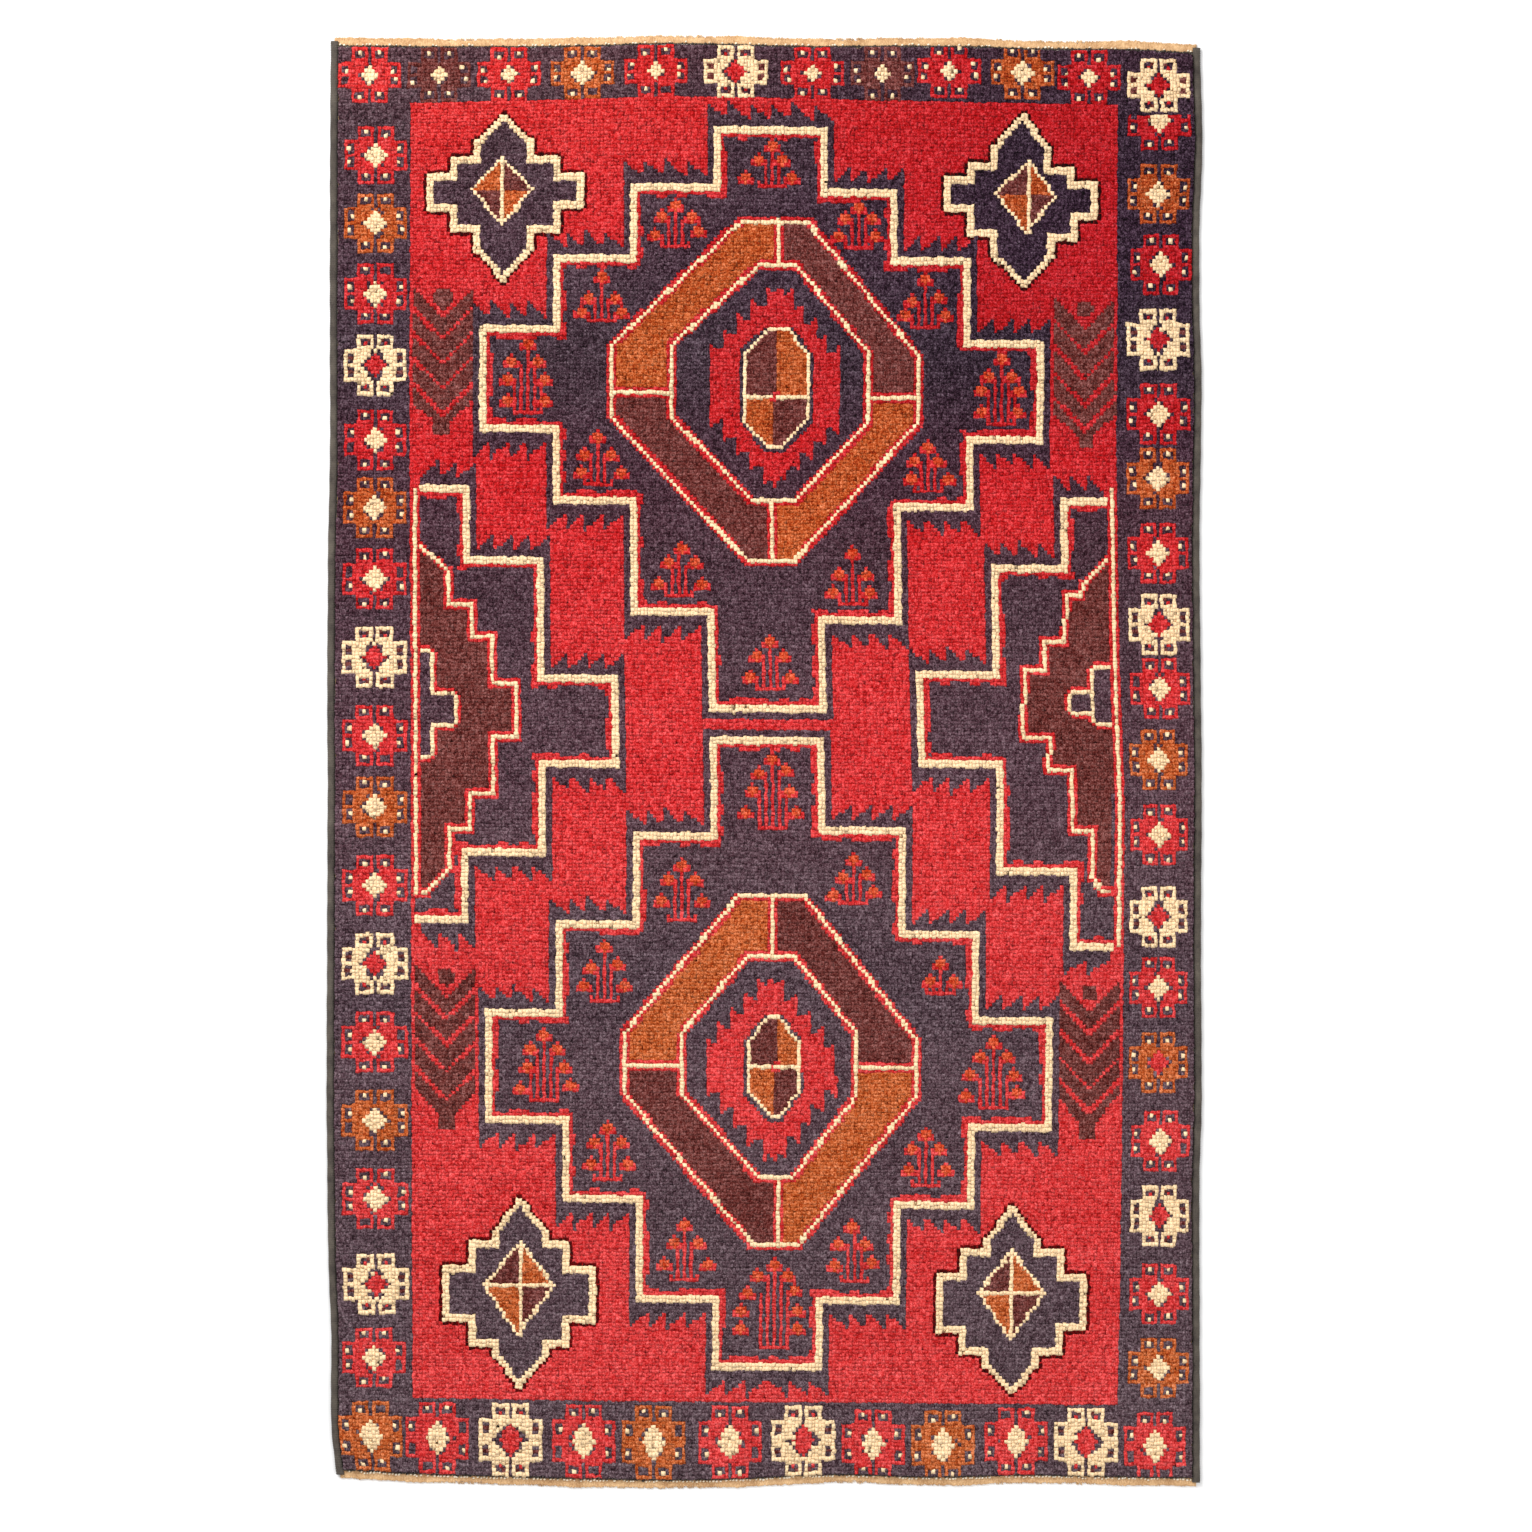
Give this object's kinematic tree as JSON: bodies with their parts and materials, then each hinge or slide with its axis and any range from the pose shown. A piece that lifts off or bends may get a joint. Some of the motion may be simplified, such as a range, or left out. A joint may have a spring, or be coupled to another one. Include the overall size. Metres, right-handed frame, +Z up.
{
  "type": "area rug",
  "caption": "Small hand-knotted wool rug lying flat: two stepped medallions, half medallions and corner stars in a rosette border, with overcast sides and flat-woven ends.",
  "frame": {"origin": "centre of the underside, where the rug lies on the floor", "axes": "+Z up out of the pile; +Y along the length, towards the far end; +X across"},
  "size_m": [0.915, 1.5162, 0.008],
  "materials": {
    "cotton_weave": "plain-woven undyed wool and cotton, matt",
    "goat_hair": "overcast dark goat hair, slightly glossy",
    "navy_pile": "knotted wool pile, dark aubergine navy, matt",
    "red_pile": "knotted wool pile, madder red with uneven dye, matt",
    "cream_pile": "knotted wool pile, undyed cream, matt",
    "gold_pile": "knotted wool pile, camel gold, matt",
    "brown_pile": "knotted wool pile, dark madder brown, matt"
  },
  "bodies": {
    "root": {"border_pile": "navy_pile", "end_kilim_far": "cotton_weave", "end_kilim_near": "cotton_weave", "far_left_star_ground": "navy_pile", "far_left_star_outline": "cream_pile", "far_left_tree": "brown_pile", "far_medallion_ground": "navy_pile", "far_medallion_guard": "navy_pile", "far_medallion_hub_ground": "navy_pile", "far_medallion_inline": "red_pile", "far_medallion_lozenge": "red_pile", "far_medallion_octagon": "cream_pile", "far_medallion_outline": "cream_pile", "far_medallion_panel_far_left": "gold_pile", "far_medallion_panel_far_right": "brown_pile", "far_medallion_panel_near_left": "brown_pile", "far_medallion_panel_near_right": "gold_pile", "far_medallion_ring_lines": "cream_pile", "far_right_star_ground": "navy_pile", "far_right_star_outline": "cream_pile", "far_right_tree": "brown_pile", "field_pile": "red_pile", "foundation_weave": "cotton_weave", "left_half_figure": "brown_pile", "left_half_ground": "navy_pile", "left_half_guard": "navy_pile", "left_half_inline": "red_pile", "left_half_outline": "cream_pile", "near_left_star_ground": "navy_pile", "near_left_star_outline": "cream_pile", "near_left_tree": "brown_pile", "near_medallion_ground": "navy_pile", "near_medallion_guard": "navy_pile", "near_medallion_hub_ground": "navy_pile", "near_medallion_inline": "red_pile", "near_medallion_lozenge": "red_pile", "near_medallion_octagon": "cream_pile", "near_medallion_outline": "cream_pile", "near_medallion_panel_far_left": "gold_pile", "near_medallion_panel_far_right": "brown_pile", "near_medallion_panel_near_left": "brown_pile", "near_medallion_panel_near_right": "gold_pile", "near_medallion_ring_lines": "cream_pile", "near_right_star_ground": "navy_pile", "near_right_star_outline": "cream_pile", "near_right_tree": "brown_pile", "right_half_figure": "brown_pile", "right_half_ground": "navy_pile", "right_half_guard": "navy_pile", "right_half_inline": "red_pile", "right_half_outline": "cream_pile", "selvedge_cord_left_inner": "cotton_weave", "selvedge_cord_left_outer": "cotton_weave", "selvedge_cord_right_inner": "cotton_weave", "selvedge_cord_right_outer": "cotton_weave", "selvedge_wrap_left": "goat_hair", "selvedge_wrap_right": "goat_hair", "warp_ends_far": "cotton_weave", "warp_ends_near": "cotton_weave"}
  },
  "joints": []
}
